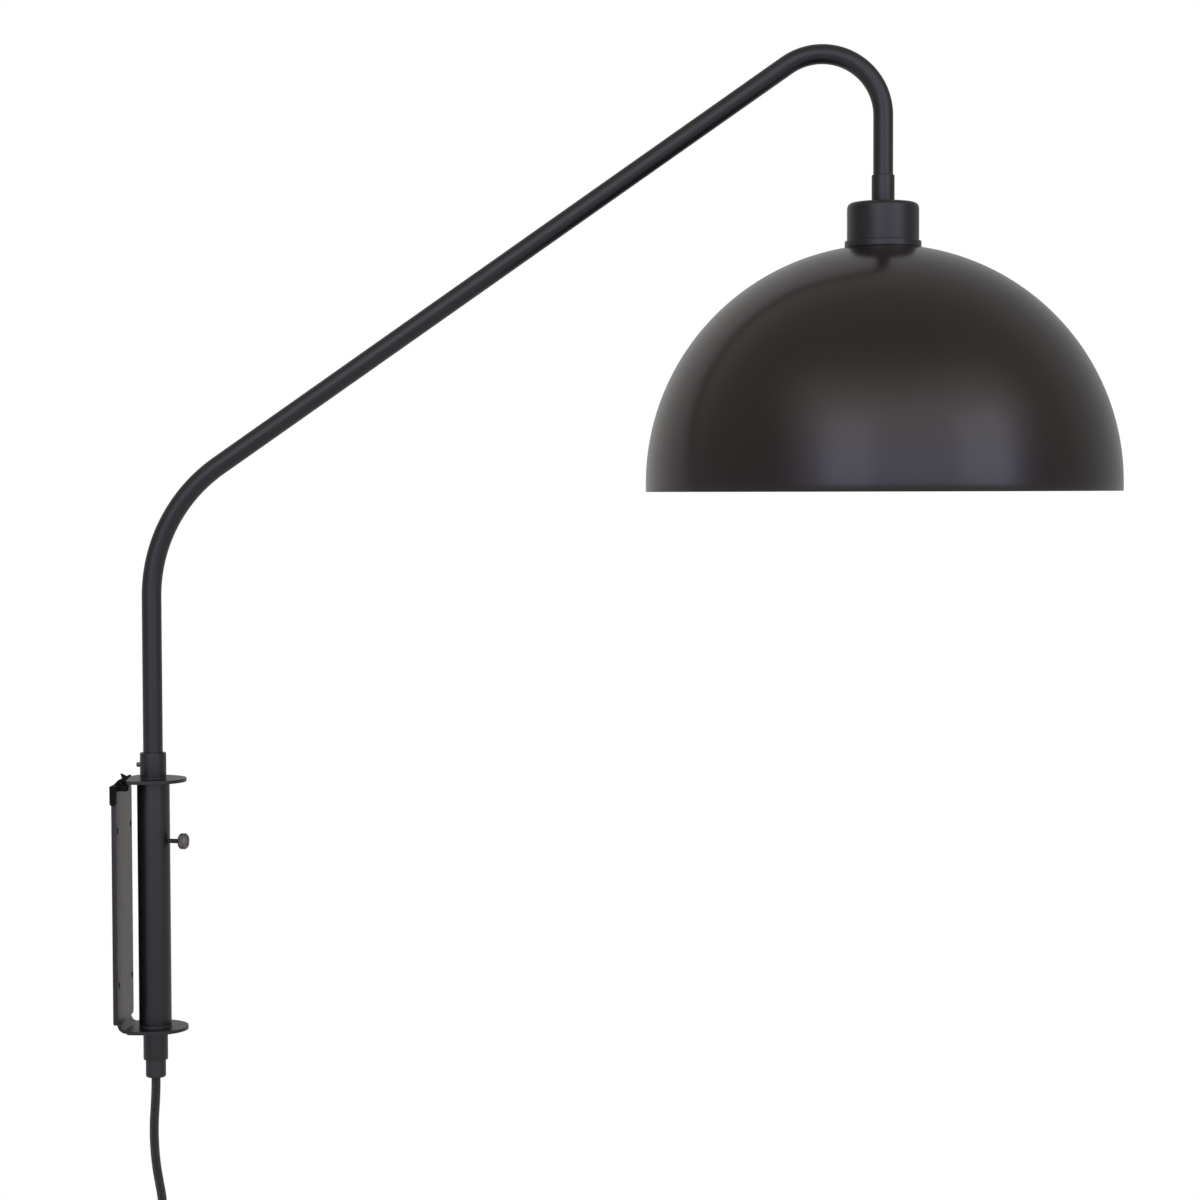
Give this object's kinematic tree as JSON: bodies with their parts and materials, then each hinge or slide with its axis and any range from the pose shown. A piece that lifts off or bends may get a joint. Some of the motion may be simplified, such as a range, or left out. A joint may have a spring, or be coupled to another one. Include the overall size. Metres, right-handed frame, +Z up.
{
  "type": "swing-arm wall sconce",
  "caption": "Matte black swing-arm wall sconce with a dome shade hung from a bent tube arm on a folded wall bracket, on a plug-in cord.",
  "frame": {"origin": "centre of the wall plate's rear face, where it meets the wall", "axes": "+X away from the wall along the arm at rest, +Y along the wall, +Z up"},
  "size_m": [0.6455, 0.303, 1.0085],
  "materials": {
    "black_metal": "satin black powder coat",
    "dark_screw": "dark nickel-plated steel",
    "steel": "plain zinc-plated steel",
    "brass": "plain turned brass",
    "shell": "thin drawn aluminium",
    "porcelain": "glazed cream ceramic-like moulding",
    "black_plastic": "matte black moulding",
    "bush_plastic": "dark acetal",
    "cord_cover": "black braided cotton cover",
    "seal": "black rubber",
    "frosted": "white frosted glass",
    "blade": "plain brass blade",
    "tie": "black nylon"
  },
  "bodies": {
    "wall_bracket": {"wall_plate": "black_metal", "bracket": "black_metal", "hanging_tie": "tie", "hinge_barrel": "black_metal", "upper_bush": "bush_plastic", "lower_bush": "bush_plastic", "cord_drop": "cord_cover", "switch_front": "black_plastic", "switch_back": "black_plastic", "switch_screws": "steel", "rocker_pin": "steel", "cord_coil": "cord_cover", "cord_tie": "tie", "plug_body": "black_plastic", "plug_blades": "blade"},
    "arm": {"arm_tube": "black_metal", "thrust_washer": "bush_plastic", "stop_collar": "black_metal", "collar_screw": "dark_screw", "lower_sleeve": "black_metal", "cord_grip": "black_plastic", "grip_seal": "seal", "inner_lead": "cord_cover", "arm_ferrule": "black_metal", "nipple": "brass", "cap_nut": "steel", "socket_cap": "black_metal", "shade_ring": "black_metal", "dome_shade": "black_metal", "lampholder_body": "porcelain", "lampholder_cover": "porcelain", "screw_shell": "shell", "centre_contact": "brass", "terminal_screws": "brass", "lead_cores": "cord_cover", "shade_nut": "black_plastic", "bulb_glass": "frosted", "bulb_base": "shell"},
    "clamp_tip": {"clamp_tip": "bush_plastic"},
    "thumbscrew": {"thumbscrew": "dark_screw"},
    "rocker": {"switch_rocker": "black_plastic"}
  },
  "joints": [
    {"name": "arm_swing", "type": "hinge", "parent": "wall_bracket", "child": "arm", "pos_m": [0.0225, 0, 0], "axis": [0, 0, 1], "range_deg": [-73, 73]},
    {"name": "clamp_slide", "type": "slide", "parent": "wall_bracket", "child": "clamp_tip", "axis": [0.9848, -0.1736, 0], "range_m": [0, 0.0015]},
    {"name": "thumb_turn", "type": "hinge", "parent": "clamp_tip", "child": "thumbscrew", "pos_m": [0.0225, 0, 0.0413], "axis": [0.9848, -0.1736, 0], "range_deg": [0, 1080]},
    {"name": "rocker_tilt", "type": "hinge", "parent": "wall_bracket", "child": "rocker", "pos_m": [0.0304, 0, -0.247], "axis": [0, 1, 0], "range_deg": [0, 16]}
  ],
  "couplings": [
    {"joint": "thumb_turn", "follows": "clamp_slide", "rad_per_m": 12566}
  ]
}
